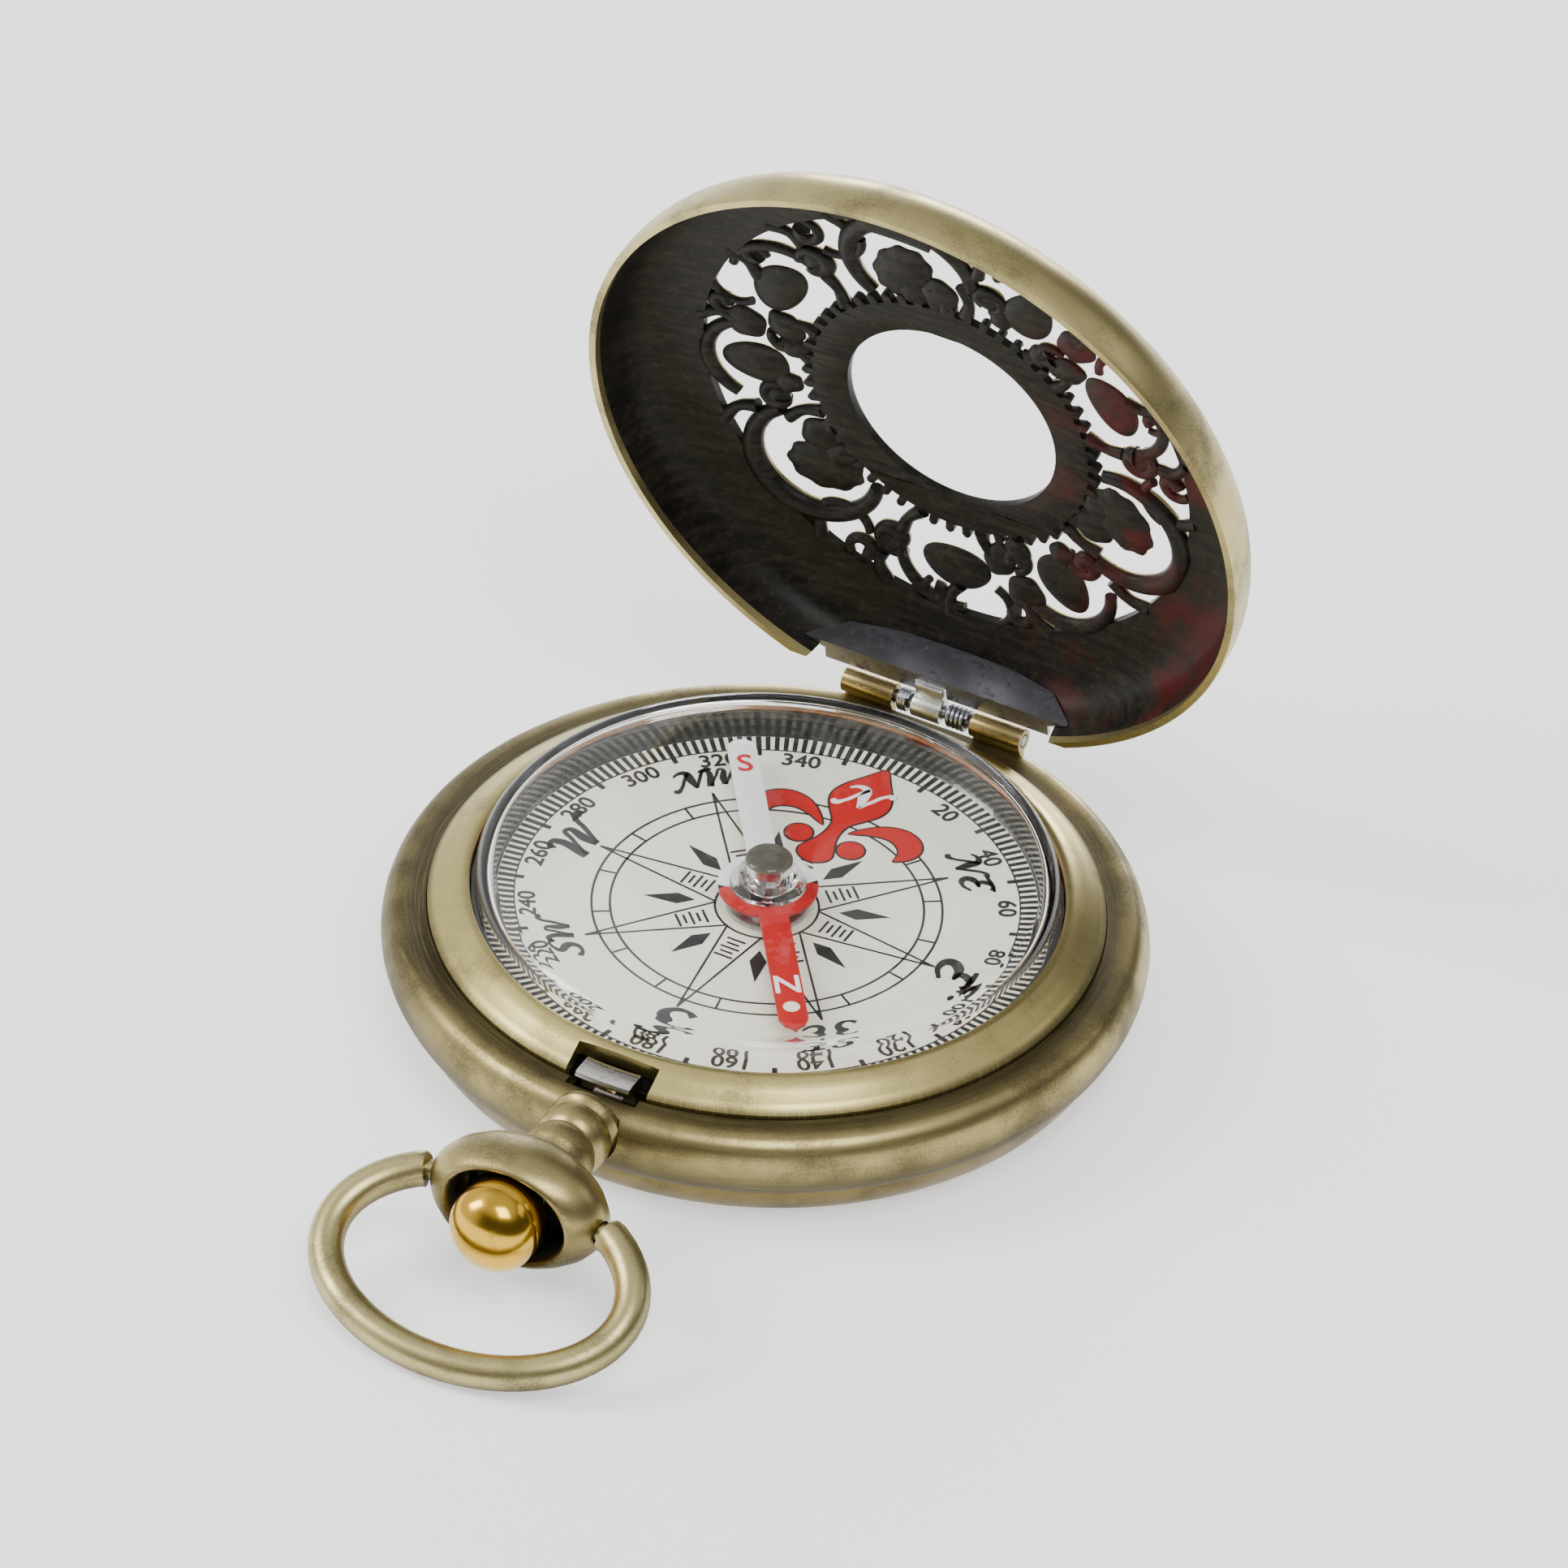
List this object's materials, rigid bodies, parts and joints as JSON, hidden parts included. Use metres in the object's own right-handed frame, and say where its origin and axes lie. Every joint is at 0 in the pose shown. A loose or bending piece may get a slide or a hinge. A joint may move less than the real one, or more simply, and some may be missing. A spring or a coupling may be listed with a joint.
{
  "type": "pocket compass",
  "caption": "Flip-lid pocket compass: brass case with a sprung openwork lid, domed crystal over a printed dial and needle, push-button latch and hanging bow.",
  "frame": {"origin": "centre of the flat back face", "axes": "+Z out of the dial, +Y to the lid hinge and dial north, -Y to the pendant and bow, +X to dial east"},
  "size_m": [0.046, 0.0672, 0.0503],
  "materials": {
    "antique_brass": "antiqued and brushed, dark in the recesses and worn bright on the edges",
    "bright_brass": "polished",
    "steel": "scuffed",
    "crystal": "clear, polished",
    "dial_white": "printed in black and red",
    "black_plastic": "satin",
    "needle_red": "one half red, the other half white",
    "jewel_red": "polished synthetic ruby"
  },
  "bodies": {
    "case": {"mid_case": "antique_brass", "back_cover": "antique_brass", "bezel": "antique_brass", "crystal": "crystal", "crystal_gasket": "black_plastic", "dial_plate": "dial_white", "capsule_tray": "black_plastic", "pivot_base": "steel", "pivot_pin": "steel", "case_knuckle_left": "bright_brass", "case_knuckle_right": "bright_brass", "hinge_pin": "steel", "lid_spring_left": "steel", "lid_spring_right": "steel", "latch_spring": "steel", "latch_screw": "steel", "pendant_neck": "antique_brass", "pendant_cup": "antique_brass", "button_spring": "steel"},
    "lid": {"lid_shell": "antique_brass", "lid_flange": "steel", "lid_knuckle": "steel"},
    "needle": {"needle_blade": "needle_red", "needle_cap": "crystal", "bearing_jewel": "jewel_red"},
    "latch": {"latch_hook": "steel"},
    "button": {"push_button": "bright_brass", "push_rod": "bright_brass"},
    "bow": {"bow": "antique_brass"}
  },
  "joints": [
    {"name": "lid_hinge", "type": "hinge", "parent": "case", "child": "lid", "pos_m": [0, 0.0214, 0.0078], "axis": [1, 0, 0], "range_deg": [0, 78.4], "stiffness_Nm_per_rad": 0.0012, "springref_deg": -51.57, "deforming": ["lid_spring_left", "lid_spring_right"]},
    {"name": "needle_spin", "type": "hinge", "parent": "case", "child": "needle", "pos_m": [0, 0, 0.00665], "axis": [0, 0, 1], "continuous": true},
    {"name": "bow_pivot", "type": "hinge", "parent": "case", "child": "bow", "pos_m": [0, -0.03085, 0.0057], "axis": [1, 0, 0], "range_deg": [-160, 90]},
    {"name": "button_push", "type": "slide", "parent": "case", "child": "button", "axis": [0, 1, 0], "range_m": [0, 0.00042], "stiffness_N_per_m": 1200, "springref_m": -0.0006, "deforming": ["button_spring"]},
    {"name": "latch_slide", "type": "slide", "parent": "case", "child": "latch", "axis": [0, 1, 0], "range_m": [0, 0.00042], "deforming": ["latch_spring"]}
  ],
  "couplings": [
    {"joint": "latch_slide", "follows": "button_push", "ratio": 1}
  ]
}
